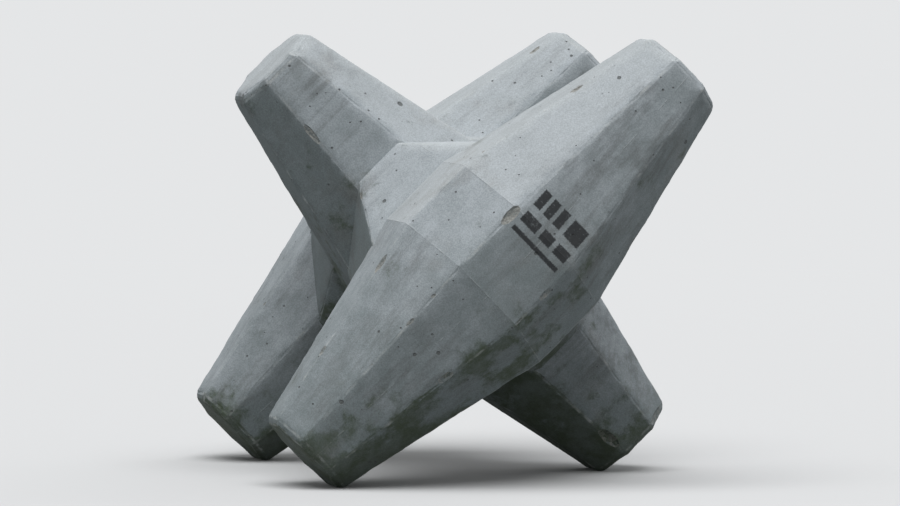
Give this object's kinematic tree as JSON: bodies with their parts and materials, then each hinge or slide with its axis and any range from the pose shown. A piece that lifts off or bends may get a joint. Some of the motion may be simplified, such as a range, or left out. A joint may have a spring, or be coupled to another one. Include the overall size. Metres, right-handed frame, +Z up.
{
  "type": "concrete breakwater armour unit",
  "caption": "Cast concrete armour unit: parallel tapered octagonal outer limbs and a middle limb square to them on a short shank.",
  "frame": {"origin": "on the floor under the middle of the unit as it stands stored", "axes": "+Y along the shank, towards the back outer limb; +Z up; the outer limbs lean up towards +X"},
  "size_m": [1.7084, 2.083, 1.7084],
  "materials": {
    "concrete": "rough"
  },
  "bodies": {
    "root": {"armour_unit": "concrete"}
  },
  "joints": []
}
